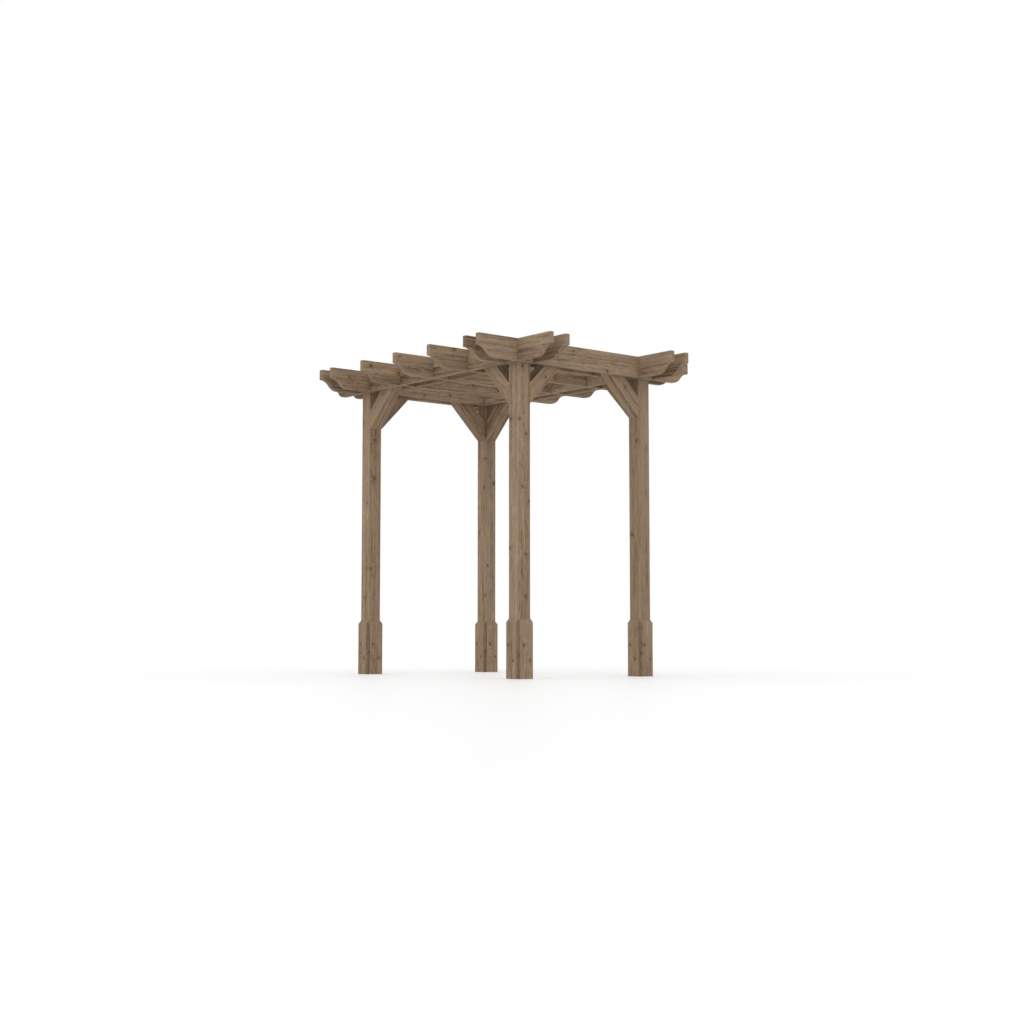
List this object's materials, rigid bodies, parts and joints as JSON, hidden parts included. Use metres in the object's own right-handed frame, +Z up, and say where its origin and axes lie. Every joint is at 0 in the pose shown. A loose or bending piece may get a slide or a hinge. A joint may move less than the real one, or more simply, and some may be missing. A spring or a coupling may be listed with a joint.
{
  "type": "wooden pergola",
  "caption": "Open garden pergola of square timber posts with bevelled foot boards, paired ogee-ended beams halved over each other, rafters and knee braces.",
  "frame": {"origin": "at ground level, under the centre of the roof", "axes": "+X along the rafters to the right, +Y along the side beams to the back, +Z up"},
  "size_m": [1.8, 2.4, 2.1],
  "materials": {
    "post_wood": "rough-sawn softwood, pressure treated and stained a weathered brown, matt",
    "foot_wood": "rough-sawn softwood, pressure treated and stained a weathered brown, matt",
    "beam_wood": "rough-sawn softwood, pressure treated and stained a weathered brown, matt",
    "rafter_wood": "rough-sawn softwood, pressure treated and stained a weathered brown, matt",
    "brace_wood": "rough-sawn softwood, pressure treated and stained a weathered brown, matt"
  },
  "bodies": {
    "root": {"front_left_post": "post_wood", "front_right_post": "post_wood", "back_left_post": "post_wood", "back_right_post": "post_wood", "front_left_foot_board_right": "foot_wood", "front_left_foot_board_back": "foot_wood", "front_left_foot_board_left": "foot_wood", "front_left_foot_board_front": "foot_wood", "front_right_foot_board_right": "foot_wood", "front_right_foot_board_back": "foot_wood", "front_right_foot_board_left": "foot_wood", "front_right_foot_board_front": "foot_wood", "back_left_foot_board_right": "foot_wood", "back_left_foot_board_back": "foot_wood", "back_left_foot_board_left": "foot_wood", "back_left_foot_board_front": "foot_wood", "back_right_foot_board_right": "foot_wood", "back_right_foot_board_back": "foot_wood", "back_right_foot_board_left": "foot_wood", "back_right_foot_board_front": "foot_wood", "left_outer_beam": "beam_wood", "left_inner_beam": "beam_wood", "right_inner_beam": "beam_wood", "right_outer_beam": "beam_wood", "front_outer_beam": "beam_wood", "front_inner_beam": "beam_wood", "back_inner_beam": "beam_wood", "back_outer_beam": "beam_wood", "rafter_1": "rafter_wood", "rafter_2": "rafter_wood", "rafter_3": "rafter_wood", "front_left_cross_brace": "brace_wood", "front_right_cross_brace": "brace_wood", "back_left_cross_brace": "brace_wood", "back_right_cross_brace": "brace_wood", "front_left_side_brace": "brace_wood", "front_right_side_brace": "brace_wood", "back_left_side_brace": "brace_wood", "back_right_side_brace": "brace_wood"}
  },
  "joints": []
}
